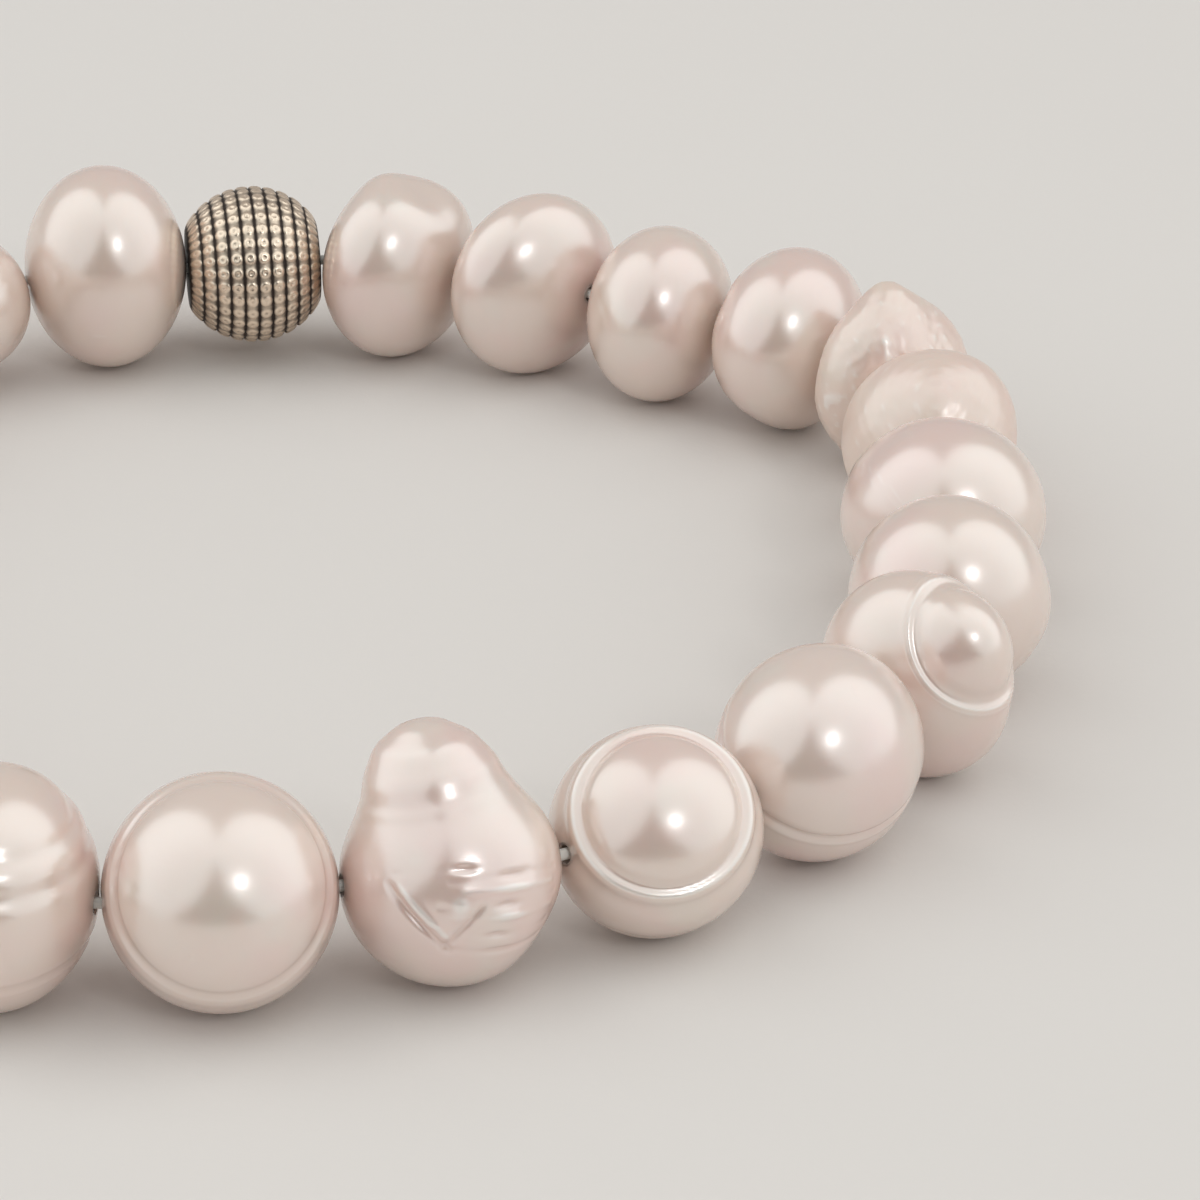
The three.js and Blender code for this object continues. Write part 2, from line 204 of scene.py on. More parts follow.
# The pearls, clockwise from the silver bead as seen from above
PEARLS = [
    Pearl(0.75, 1.05, 1.06, skew=26, warmth=0.35,
          form=[bump(-50, 72, 18, 0.06), bump(78, 72, 24, -0.11), bump(72, 40, 18, 0.04)],
          fine=[bump(-150, 10, 7, -0.004), bump(165, -2, 8, -0.004)]),
    Pearl(0.68, 1.05, 1.05, skew=27, warmth=0.45),
    Pearl(0.79, 0.98, 0.99, form=[bump(-155, 22, 20, -0.025)],
          fine=[fold((-138, 32), (-172, 8), 3, -0.006), fold((157, 6), (147, 3), 1.6, 0.006)],
          warmth=0.6),
    Pearl(0.81, 1.03, 1.03, form=[bump(-121, 32, 14, -0.025), bump(-170, -50, 26, -0.07)],
          warmth=0.6),
    Pearl(0.62, 0.92, 1.02, chalk=0.7, warmth=0.7,
          form=[bump(-90, 78, 15, 0.14), bump(42, 50, 28, -0.11), bump(170, -45, 34, -0.07),
                bump(-147, 15, 25, -0.05)],
          fine=[fold((114, 66), (113, 10), 4, -0.03), fold((128, 62), (124, 14), 4, 0.016),
                fold((160, 8), (176, 0), 4, 0.02), lumps(24, 0.011)]),
    Pearl(0.81, 0.95, 0.99, growth=(89, 55), form=[bump(0, 55, 24, 0.04), bump(0, -10, 30, -0.05)],
          fine=[lines(8, 74, 9, 0.003), lumps(14, 0.006)], chalk=0.8, warmth=0.7),
    Pearl(0.95, 1.08, 1.02, growth=(-25, 30), warmth=0.35,
          form=[step(118, 10, -0.035), bump(180, 45, 24, -0.045)],
          fine=[ring(111, 1.6, 0.006), ring(116, 1.4, 0.004)]),
    Pearl(0.91, 1.0, 1.04, growth=(-10, 25), form=[bump(6, -9, 20, 0.03)],
          fine=[ring(112, 1.6, 0.005), ring(118, 1.4, 0.004)], warmth=0.4),
    Pearl(0.75, 0.99, 1.06, growth=(16, 42), warmth=0.45, close=True,
          form=[ring(0, 24, 0.14), ring(36, 6, -0.045), ring(44, 4, 0.012),
                bump(-28, -6, 24, -0.09)],
          fine=[ring(42.0, 1.0, 0.011), ring(45.2, 0.9, 0.006), ring(39, 1.8, -0.006)]),
    Pearl(1.07, 0.96, 1.05, growth=(19, 56), warmth=0.15, close=True,
          form=[ring(82, 3, -0.035), step(84, 3, -0.02), ring(104, 10, 0.012)],
          fine=[ring(87, 1.6, 0.006), fold((10, 62), (14, 58), 1.2, 0.004)]),
    Pearl(1.01, 0.97, 0.99, growth=(24, 48), warmth=0.55, close=True,
          form=[ring(49, 4.5, -0.03), ring(56, 4.5, 0.03), ring(65, 6, -0.012),
                ring(101, 6, -0.02)],
          fine=[ring(50.5, 1.3, -0.012), ring(54, 1.4, 0.012), ring(96, 2, 0.005)]),
    Pearl(1.02, 0.98, 1.01, growth=(160, 72), warmth=0.4, close=True,
          form=[ring(0, 19, 0.18), step(32, -12, 0.3), bump(128, 60, 12, 0.04),
                bump(-65, -30, 26, -0.06)],
          fine=[fold((50, 27), (-40, 24), 1.8, -0.026), fold((16, 27), (-62, 14), 2.0, -0.034),
                fold((10, 22), (-56, 10), 2.0, 0.022), fold((22, 14), (-58, 3), 1.9, -0.034),
                fold((16, 9), (-54, -2), 2.0, 0.022), fold((26, 2), (-50, -10), 1.9, -0.032),
                fold((18, -9), (-46, -18), 2.0, -0.024), fold((52, 24), (12, -14), 1.9, -0.04),
                fold((46, 25), (12, -6), 2.0, 0.022), fold((20, -12), (-6, 16), 1.8, -0.026),
                bump(8, 15, 5, 0.018), lines(7, 43, 3, 0.0045)]),
    Pearl(1.07, 1.09, 1.09, growth=(1, 36), form=[ring(63, 4.5, -0.018), ring(71, 5, 0.01)],
          fine=[ring(67, 1.5, 0.005), ring(59, 1.5, 0.003), bump(19, -1, 1.3, -0.01)],
          warmth=0.45, close=True),
    Pearl(0.96, 1.11, 1.14, warmth=0.6, close=True,
          form=[ring(48, 5, -0.02), ring(66, 5, -0.022), ring(117, 4, -0.01)],
          fine=[ring(112, 1.3, 0.003), ring(121, 1.3, 0.003)]),
    Pearl(1.02, 1.04, 1.07, growth=(0, 70), form=[ring(70, 8, 0.012)], hidden=True),
    Pearl(1.0, 1.03, 1.02, warmth=0.3, hidden=True),
    Pearl(0.99, 1.0, 1.04, growth=(20, 60), form=[ring(60, 8, -0.012)], warmth=0.6, hidden=True),
    Pearl(0.97, 1.02, 1.0, warmth=0.4, hidden=True),
    Pearl(0.95, 0.97, 1.01, hidden=True),
    Pearl(0.93, 0.98, 0.98, growth=(-15, 65), form=[ring(65, 8, 0.012)], warmth=0.7, hidden=True),
    Pearl(0.92, 0.94, 0.97, warmth=0.35, hidden=True),
    Pearl(0.88, 0.84, 0.88, form=[bump(180, -60, 40, -0.1)], warmth=0.5),
    Pearl(0.91, 1.04, 1.16, fine=[fold((-176, -23), (-160, -25), 1.8, 0.006)], warmth=0.6),
]

# Rows along and columns round a pearl's skin: near the camera, further off, and out of its view
CLOSE_GRID = (190, 260)
USUAL_GRID = (80, 110)
HIDDEN_GRID = (48, 66)

# Rows round a bore's edge and along the bore, and how often a rim is moved onto the skin
EDGE_ROWS = 4
BORE_ROWS = 3
RIM_PASSES = 12

# Rows and columns across one granule, rows across an end face, and the width of a granule's pit
# as a share of half the granule
RING_STEPS = 12
GRANULE_STEPS = 12
FACE_ROWS = 4
PIT_WIDTH = 0.3

# Rows of the cord round a bend, shares that a straight side is cut into, and columns round it
BEND_ROWS = 7
SIDE_SHARES = 4
CORD_COLUMNS = 20


class PearlSettings(bpy.types.PropertyGroup):
    """Sizes and colours of the pearls."""
    size: FloatProperty(
        name="Usual diameter", description="Diameter that the pearls' shares are taken of",
        default=0.0092, unit="LENGTH")
    bore: FloatProperty(
        name="Bore", description="Diameter of the hole for the cord", default=0.0008, unit="LENGTH")
    edge: FloatProperty(
        name="Bore edge", description="Radius that the hole's edge is rounded to",
        default=0.00008, unit="LENGTH")
    off_centre: FloatProperty(
        name="Off centre", description="Furthest that a bore runs above or below the middle",
        default=0.00045, unit="LENGTH")
    gap: FloatProperty(
        name="Gap", description="Air between neighbouring beads", default=0.00005, unit="LENGTH")
    body: FloatVectorProperty(
        name="Body colour", description="Creamy white of the nacre", subtype="COLOR",
        default=(0.76, 0.605, 0.53), min=0, max=1)
    blush: FloatVectorProperty(
        name="Blush", description="Pink overtone", subtype="COLOR",
        default=(0.77, 0.53, 0.49), min=0, max=1)
    sheen: FloatVectorProperty(
        name="Green overtone", description="Cool green overtone", subtype="COLOR",
        default=(0.72, 0.68, 0.60), min=0, max=1)
    ivory: FloatVectorProperty(
        name="Ivory", description="Warm tone of the older layers", subtype="COLOR",
        default=(0.76, 0.57, 0.43), min=0, max=1)
    # Painted highlight: white laid on the raised fine marks, where light would catch them
    ridge_highlight: FloatVectorProperty(
        name="Ridges", description="White of raised growth lines", subtype="COLOR",
        default=(0.88, 0.84, 0.80), min=0, max=1)
    # Painted shade: a darker warm tone laid in the sunken fine marks
    groove: FloatVectorProperty(
        name="Grooves", description="Warm tone of sunken folds", subtype="COLOR",
        default=(0.66, 0.44, 0.36), min=0, max=1)
    roughness: FloatProperty(
        name="Lustre roughness", description="Roughness of the lustrous skin",
        default=0.2, min=0, max=1, subtype="FACTOR")


class SilverSettings(bpy.types.PropertyGroup):
    """Sizes and colours of the silver bead."""
    length: FloatProperty(
        name="Length", description="Length along the string", default=0.0068, unit="LENGTH")
    diameter: FloatProperty(
        name="Diameter", description="Greatest diameter, over the granules",
        default=0.0082, unit="LENGTH")
    end_diameter: FloatProperty(
        name="End diameter", description="Diameter of the end faces", default=0.0041,
        unit="LENGTH")
    rise: FloatProperty(
        name="Granule rise", description="Height of the granules over the grooves",
        default=0.00024, unit="LENGTH")
    wire: FloatProperty(
        name="Wire height", description="Height of a ring between granules, as a share",
        default=0.6, min=0, max=1, subtype="FACTOR")
    pit: FloatProperty(
        name="Pit depth", description="Depth of the pit in each granule, as a share",
        default=0.4, min=0, max=1, subtype="FACTOR")
    spread: FloatProperty(
        name="Ring spread", description="Half the angle that the rings are shared out over",
        default=math.radians(30), unit="ROTATION")
    rings: IntProperty(name="Rings", description="Rings of granules", default=10, min=1)
    round: IntProperty(
        name="Granules round", description="Granules in each ring", default=32, min=3)
    bright: FloatVectorProperty(
        name="Bright silver", description="Worn tops of the granules", subtype="COLOR",
        default=(0.84, 0.70, 0.56), min=0, max=1)
    oxide: FloatVectorProperty(
        name="Oxide", description="Blackened grooves", subtype="COLOR",
        default=(0.03, 0.018, 0.013), min=0, max=1)


class CordSettings(bpy.types.PropertyGroup):
    """Size and colour of the elastic cord."""
    diameter: FloatProperty(
        name="Diameter", description="Thickness of the cord", default=0.0005, unit="LENGTH")
    bend: FloatProperty(
        name="Bend", description="Distance from a joint where the cord starts to bend",
        default=0.0007, unit="LENGTH")
    colour: FloatVectorProperty(
        name="Colour", description="Colour of the cord", subtype="COLOR",
        default=(0.80, 0.77, 0.71), min=0, max=1)
    milk: FloatVectorProperty(
        name="Milky tone", description="Paler tone that drifts through the cord", subtype="COLOR",
        default=(0.9, 0.88, 0.84), min=0, max=1)


class StageSettings(bpy.types.PropertyGroup):
    """Floor, lights and camera."""
    floor_size: FloatProperty(
        name="Floor size", description="Side of the square floor", default=3.0, unit="LENGTH")
    floor_colour: FloatVectorProperty(
        name="Floor colour", description="Pale plain floor", subtype="COLOR",
        default=(0.74, 0.70, 0.67), min=0, max=1)
    camera_place: FloatVectorProperty(
        name="Camera place", description="Where the camera stands", subtype="TRANSLATION",
        default=(0.01479, -0.21218, 0.11447))
    camera_drop: FloatProperty(
        name="Camera drop", description="Angle that the camera looks down at",
        default=math.radians(27.92), unit="ROTATION")
    lens: FloatProperty(
        name="Lens", description="Focal length in millimetres", default=153.3)
    side_radiance: FloatProperty(
        name="Side lights", description="Brightness of the two large side lights", default=0.9)
    side_colour: FloatVectorProperty(
        name="Side colour", description="Colour of the two large side lights", subtype="COLOR",
        default=(0.95, 1.0, 1.0), min=0, max=1)
    key_radiance: FloatProperty(
        name="Key light", description="Brightness of the small light by the camera", default=11.0)
    key_colour: FloatVectorProperty(
        name="Key colour", description="Colour of the small light by the camera", subtype="COLOR",
        default=(1.0, 0.99, 0.98), min=0, max=1)
    fill: FloatProperty(
        name="Fill", description="Brightness of the pale walls all round", default=0.48)
    wall_colour: FloatVectorProperty(
        name="Wall colour", description="Colour of the pale walls all round", subtype="COLOR",
        default=(1.0, 0.96, 0.93), min=0, max=1)


# Meshes

def grid_object(name, grid, attributes=()):
    """Object whose mesh has one face for each cell of a grid of points. The rows and the columns
    both run round and meet themselves, so the surface is closed, like a ring's. Its faces are
    turned over where the volume is negative, which is a sixth of the sum of the corners' triple
    products."""
    rows, columns = grid.shape[:2]
    corner = np.arange(rows * columns).reshape(rows, columns)
    ahead = np.roll(corner, -1, axis=0)
    beside, across = np.roll(corner, -1, axis=1), np.roll(ahead, -1, axis=1)
    faces = np.stack([corner, beside, across, ahead], axis=-1).reshape(-1, 4)
    points = grid.reshape(-1, 3)
    offset = points - points.mean(axis=0)
    a, b, c, d = (offset[faces[:, i]] for i in range(4))
    if (np.cross(a, b) * c + np.cross(a, c) * d).sum() < 0:
        faces = faces[:, ::-1]
    mesh = bpy.data.meshes.new(name)
    mesh.vertices.add(len(points))
    mesh.vertices.foreach_set("co", points.ravel())
    mesh.loops.add(faces.size)
    mesh.loops.foreach_set("vertex_index", faces.ravel())
    mesh.polygons.add(len(faces))
    mesh.polygons.foreach_set("loop_start", np.arange(0, faces.size, 4))
    mesh.polygons.foreach_set("use_smooth", np.ones(len(faces), dtype=bool))
    mesh.update(calc_edges=True)
    mesh.validate()
    for label, values in attributes:
        layer = mesh.attributes.new(label, "FLOAT", "POINT")
        layer.data.foreach_set("value", np.broadcast_to(values, grid.shape[:2]).ravel())
    thing = bpy.data.objects.new(name, mesh)
    bpy.context.scene.collection.objects.link(thing)
    return thing


def put_on_string(thing, node, material):
    """Makes a finished piece stand for its node."""
    thing.data.materials.append(material)
    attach(thing, BODY)
    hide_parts(node)


def string_joints():
    """Corners of the string, clockwise as seen from above. The cord's node has one mitred ring of
    corners at each joint, so its corners lie in bunches by bearing, and a joint is the middle of
    its bunch's box."""
    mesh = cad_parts[CORD_NODE].data
    corners = np.empty(3 * len(mesh.vertices), dtype=np.float32)
    mesh.vertices.foreach_get("co", corners)
    corners = corners.reshape(-1, 3).astype(float)
    bearing = np.arctan2(corners[:, 0], corners[:, 1])
    order = np.argsort(bearing)
    corners, bearing = corners[order], bearing[order]
    leaps = np.diff(bearing, append=bearing[0] + math.tau)
    beads = len(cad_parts) - 1
    ends = np.sort(np.argsort(leaps)[-beads:]) + 1
    corners = np.roll(corners, -ends[0], axis=0)
    bunches = np.split(corners, (ends - ends[0])[1:])
    return np.array([(bunch.min(axis=0) + bunch.max(axis=0)) / 2 for bunch in bunches])


def heading(step_along):
    """Angle of a flat vector from +X."""
    return math.atan2(step_along[1], step_along[0])


def half_bend(before, after):
    """Half the turn from one heading to the next."""
    return math.remainder(after - before, math.tau) / 2


class Seat:
    """A bead's stretch of the string: its joint behind, its side from there to the joint ahead,
    its yaw and half the bend at each joint."""

    def __init__(self, joints, index):
        behind, back, front, ahead = (joints[(index + k) % len(joints)] for k in (-1, 0, 1, 2))
        self.back, self.side = back, front - back
        self.yaw = heading(front - back)
        self.back_half = half_bend(heading(back - behind), self.yaw)
        self.front_half = half_bend(self.yaw, heading(ahead - front))

    def place(self, local, gap):
        """Carries a bead from its own axes to the frame. Its skin's reach towards each joint, along
        the plane that halves the bend there, gives the share of the stretch behind its middle."""
        flat = local.reshape(-1, 3)
        entering = np.array((-math.cos(self.back_half), math.sin(self.back_half), 0))
        leaving = np.array((math.cos(self.front_half), math.sin(self.front_half), 0))
        back = ((flat @ entering).max() + gap / 2) / math.cos(self.back_half)
        front = ((flat @ leaving).max() + gap / 2) / math.cos(self.front_half)
        middle = self.back + self.side * back / (back + front)
        cos, sin = math.cos(self.yaw), math.sin(self.yaw)
        turned = local @ np.array(((cos, sin, 0), (-sin, cos, 0), (0, 0, 1)))
        return turned + middle


def seat_of(node, joints):
    """The stretch of the string whose middle is nearest to the middle of a node's box."""
    middles = (joints + np.roll(joints, -1, axis=0)) / 2
    low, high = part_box(node)
    centre = (np.array(low) + np.array(high)) / 2
    return Seat(joints, int(np.linalg.norm(middles - centre, axis=1).argmin()))


def between(first, last, share):
    """Directions on the great circle from the first to the last: each is weighed by the sine of
    its share of the angle between them."""
    angle = np.arccos(np.clip((first * last).sum(-1, keepdims=True), -1, 1))
    return (np.sin((1 - share) * angle) * first + np.sin(share * angle) * last) / np.sin(angle)


def circle(radius, columns):
    """Points round the x axis: the radius times the cosine and the sine of the roll."""
    roll = np.linspace(0, math.tau, columns, endpoint=False)
    return np.stack([np.zeros(columns), radius * np.cos(roll), radius * np.sin(roll)], axis=-1)


def bore_surface(front, back, radius, edge, columns):
    """Rows that close a drilled bead from its front rim to its back rim: a quarter circle that
    turns from the skin into the bore, the straight bore, and a quarter circle out again."""
    turn = np.linspace(0, math.pi / 2, EDGE_ROWS + 1)[1:, None]
    spoke = circle(1.0, columns)
    into_radius = radius + edge * (1 - np.sin(turn))
    sunk = edge * (1 - np.cos(turn))
    straight = np.linspace(front - edge, back + edge, BORE_ROWS + 2)[1:-1]
    rows_x = np.concatenate([front - sunk, straight, (back + sunk)[::-1]])
    rows_radius = np.concatenate([
        np.broadcast_to(into_radius, (EDGE_ROWS, columns)),
        np.full((BORE_ROWS, columns), radius),
        np.broadcast_to(into_radius[::-1], (EDGE_ROWS, columns)),
    ])
    rows = rows_radius[..., None] * spoke
    rows[..., 0] = rows_x
    return rows


def pearl_surface(pearl, settings, drop):
    """Grid of a drilled pearl in its own axes, with the bore on the x axis. The body's middle lies
    above or below the bore, as far as the drilling allows, so that the skin touches the surface a
    drop below the bore. A skin point is that middle plus a direction times the skin's radius, and
    the directions run on great circles from the front rim over the girth to the back rim. The rest
    is the bore."""
    rows, columns = HIDDEN_GRID if pearl.hidden else CLOSE_GRID if pearl.close else USUAL_GRID
    radius, edge, size = settings.bore / 2, settings.edge, settings.size
    girth = circle(1.0, columns)
    around = np.linspace(0, math.pi, rows)[:, None, None]
    sphere = np.cos(around) * np.array((1.0, 0.0, 0.0)) + np.sin(around) * girth
    depth = (-sphere[..., 2] * pearl.skin(sphere, size)).max()
    middle = np.array((0, 0, np.clip(depth - drop, -settings.off_centre, settings.off_centre)))
    rims = []
    for sign in (1, -1):
        rim = circle(radius + edge, columns)
        rim[:, 0] = sign * size / 2 * pearl.length
        for _ in range(RIM_PASSES):
            arm = rim - middle
            miss = np.linalg.norm(arm, axis=-1) - pearl.skin(unit(arm), size)
            rim[:, 0] -= sign * miss
        rims.append(rim)
    share = np.linspace(0, 1, rows // 2)[:, None, None]
    front, back = (unit(rim - middle) for rim in rims)
    directions = np.concatenate([between(front, girth, share), between(girth, back, share)[1:]])
    skin = middle + directions * pearl.skin(directions, size)[..., None]
    bore = bore_surface(rims[0][:, 0], rims[1][:, 0], radius, edge, columns)
    # Relief of the fine marks, which the nacre's colour turns into a painted highlight on ridges
    # and painted shade in grooves
    relief = np.zeros((len(skin) + len(bore), columns))
    relief[:len(skin)] = pearl.swell(pearl.fine, directions)
    return np.concatenate([skin, bore]), relief


def silver_surface(settings, bore, edge):
    """Grid of the silver bead in its own axes, and the height of each point over the grooves as a
    share of the granules' rise. The barrel's radius squared falls with the square of the share
    along it. Each ring is a half-round wire with a round granule at each place round it: its rise
    is the root of one less the squares of the two offsets from the granule's middle, less a small
    bell-shaped pit there."""
    rows, columns = settings.rings * RING_STEPS, settings.round * GRANULE_STEPS
    half, end = settings.length / 2, settings.end_diameter / 2
    groove = settings.diameter / 2 - settings.rise
    share = np.sin(np.linspace(settings.spread, -settings.spread, rows + 1))
    share /= math.sin(settings.spread)
    barrel = np.sqrt(groove ** 2 - (groove ** 2 - end ** 2) * share ** 2)
    across = 2 * (np.arange(rows + 1) % RING_STEPS)[:, None] / RING_STEPS - 1
    beside = 2 * (np.arange(columns) % GRANULE_STEPS)[None, :] / GRANULE_STEPS - 1
    wire = np.sqrt(1 - across ** 2)
    dome = np.sqrt(np.clip(1 - across ** 2 - beside ** 2, 0, 1))
    height = np.maximum(settings.wire * wire, dome)
    height = height - settings.pit * bell(np.hypot(across, beside) / PIT_WIDTH)
    lean = 1 / np.sqrt(1 + np.gradient(barrel, half * share) ** 2)
    spoke = circle(1.0, columns)
    skin = (barrel[:, None] + settings.rise * height * lean[:, None])[..., None] * spoke
    skin[..., 0] = half * share[:, None]
    inner = bore / 2 + edge
    face_radius = np.linspace(inner, end, FACE_ROWS, endpoint=False)[:, None, None]
    face = face_radius * spoke
    along = np.array((half, 0, 0))
    rim = np.full(columns, half)
    tube = bore_surface(rim, -rim, bore / 2, edge, columns)
    grid = np.concatenate([face + along, skin, face[::-1] - along, tube])
    relief = np.zeros(grid.shape[:2])
    relief[FACE_ROWS:FACE_ROWS + len(skin)] = height
    return grid, relief


def cord_surface(settings, joints):
    """Grid of the cord: a circle carried along the string's sides. Each side runs straight, and at
    each joint a parabola joins the points a bend's length before and after it."""
    before, after = np.roll(joints, 1, axis=0), np.roll(joints, -1, axis=0)
    start = joints + settings.bend * unit(before - joints)
    end = joints + settings.bend * unit(after - joints)
    share = np.linspace(0, 1, BEND_ROWS)[None, :, None]
    corner = ((1 - share) ** 2 * start[:, None] + 2 * share * (1 - share) * joints[:, None]
              + share ** 2 * end[:, None])
    side = (np.roll(start, -1, axis=0) - end)[:, None]
    straight = end[:, None] + np.arange(1, SIDE_SHARES)[None, :, None] / SIDE_SHARES * side
    path = np.concatenate([corner, straight], axis=1).reshape(-1, 3)
    along = unit(np.roll(path, -1, axis=0) - np.roll(path, 1, axis=0))
    up = np.array((0.0, 0.0, 1.0))
    outward = unit(np.cross(up, along))
    roll = np.linspace(0, math.tau, CORD_COLUMNS, endpoint=False)[None, :, None]
    radius = settings.diameter / 2
    return path[:, None] + radius * (np.cos(roll) * outward[:, None] + np.sin(roll) * up)


# Materials

class Wire:
    """A socket that a material's expression can be written with."""

    def __init__(self, shader, socket):
        self.shader, self.socket = shader, socket

    def _math(self, operation, *values):
        return self.shader.add("ShaderNodeMath", {"operation": operation}, values)

    def __add__(self, other):
        return self._math("ADD", self, other)

    def __radd__(self, other):
        return self._math("ADD", other, self)

    def __sub__(self, other):
        return self._math("SUBTRACT", self, other)

    def __rsub__(self, other):
        return self._math("SUBTRACT", other, self)

    def __mul__(self, other):
        return self._math("MULTIPLY", self, other)

    def __rmul__(self, other):
        return self._math("MULTIPLY", other, self)

    def ramp(self, low, high, bottom=0.0, top=1.0):
        """Smooth rise from a bottom value at low to a top value at high."""
        settings = {"interpolation_type": "SMOOTHSTEP"}
        return self.shader.add("ShaderNodeMapRange", settings, (self, low, high, bottom, top))


class Shader:
    """The nodes of a new material or world, which are added one call at a time."""

    def __init__(self, owner, finish="Principled BSDF"):
        owner.use_nodes = True
        self.owner, self.tree = owner, owner.node_tree
        self.finish = self.tree.nodes[finish]

    def add(self, kind, settings=None, values=(), output=0):
        """Adds a node of a kind, sets it, then fills its inputs from values or wires, by order or
        by name. Gives its output."""
        node = self.tree.nodes.new(kind)
        for label, value in (settings or {}).items():
            setattr(node, label, value)
        pairs = values.items() if isinstance(values, dict) else enumerate(values)
        for key, value in pairs:
            self.fill(node.inputs[key], value)
        return Wire(self, node.outputs[output])

    def fill(self, socket, value):
        """Links a wire to a socket, or sets its value."""
        if isinstance(value, Wire):
            self.tree.links.new(value.socket, socket)
        else:
            socket.default_value = value

    def surface(self, **values):
        """Fills the finish's inputs, whose names are written with underscores."""
        for label, value in values.items():
            self.fill(self.finish.inputs[label.replace("_", " ")], value)

    def places(self):
        """Object coordinates."""
        return self.add("ShaderNodeTexCoord", output="Object")

    def attribute(self, name):
        """A value stored on the mesh."""
        return self.add("ShaderNodeAttribute", {"attribute_name": name}, output="Fac")

    def noise(self, size, detail=2.0, roughness=0.5, shift=0.0):
        """Noise whose lumps are about a size across, from 0 to 1."""
        places = self.add("ShaderNodeVectorMath", {"operation": "ADD"},
                          (self.places(), (shift, shift, shift)))
        return self.add("ShaderNodeTexNoise", {}, {
            "Vector": places, "Scale": 1 / size, "Detail": detail, "Roughness": roughness})

    def mix(self, share, first, last):
        """Colour between two colours. The node's sockets for colours bear numbers, as those for
        numbers and vectors have the same names."""
        return self.add("ShaderNodeMix", {"data_type": "RGBA"}, {0: share, 6: first, 7: last}, 2)

    def bump(self, height, distance, **normal):
        """Normal of a surface raised by a height from 0 to 1, times a distance, over another
        normal where one is given."""
        return self.add("ShaderNodeBump", {}, {"Distance": distance, "Height": height, **normal})


# Noises of the finishes: the size of a lump in metres, then the detail, the roughness, and a shift
# that parts one noise from the others, where these aren't the usual ones
BLUSH_DRIFT = (0.006,)
SHEEN_DRIFT = (0.0035, 2.0, 0.5, 0.37)
CLOUD = (0.0016, 3.0, 0.6, 0.71)
NACRE_PITS = (0.0009, 3.0, 0.55, 0.13)
NACRE_GRAIN = (0.00012, 2.0, 0.6)
TARNISH = (0.0009, 3.0, 0.6)
SCRATCHES = (0.00006, 2.0, 0.6)
CORD_CLOUD = (0.0004,)
CORD_GRAIN = (0.0001,)
FLOOR_TONE = (0.05, 3.0)
FLOOR_GRAIN = (0.0004, 2.0, 0.6)

# How high they raise the surface, in metres
NACRE_PITS_HEIGHT = 0.000012
NACRE_GRAIN_HEIGHT = 0.0000012
SCRATCHES_HEIGHT = 0.000003
CORD_GRAIN_HEIGHT = 0.00001
FLOOR_GRAIN_HEIGHT = 0.00001

# Tones of the nacre: where on its noise or relief a tone starts and is full, and its share there
BLUSH_RANGE = (0.42, 0.68)
BLUSH_SHARE = 0.7
SHEEN_RANGE = (0.52, 0.72)
SHEEN_SHARE = 0.4
# Painted highlight on the raised fine marks
RIDGE_HIGHLIGHT_RANGE = (0.1, 0.9)
RIDGE_HIGHLIGHT_SHARE = 0.6
# Painted shade in the sunken fine marks
GROOVE_SHADE_RANGE = (0.1, 1.0)
GROOVE_SHADE_SHARE = 0.45

# Ivory: its share on the warmest pearl, and how much of that is even and how much is cloudy
IVORY_SHARE = 0.35
IVORY_EVEN = 0.6
IVORY_CLOUDY = 0.8

# The relief of a ridge or a groove, as a share of the radius, times this reaches about 1, where the
# ridge's painted highlight and the groove's painted shade are full
RIDGE_HIGHLIGHT_GAIN = 60
GROOVE_SHADE_GAIN = 50

# Roughness that chalk and clouds add to the nacre, and the share of its lustre that chalk takes
CHALK_ROUGHNESS = 0.22
CLOUD_ROUGHNESS = 0.05
CHALK_DULLING = 0.6

# Silver: how far tarnish shifts what is worn, the heights where wear starts and is full, how
# metallic the oxide is, and how rough the oxide and the worn silver are
TARNISH_SHIFT = 0.4
WORN_RANGE = (0.26, 0.8)
OXIDE_METALLIC = 0.35
OXIDE_ROUGHNESS = 0.55
SILVER_ROUGHNESS = 0.28

# The floor's darker tone, as a share of its colour
FLOOR_SHADE = 0.97


def opaque(colour):
    """A colour with full alpha."""
    return (*colour, 1.0)


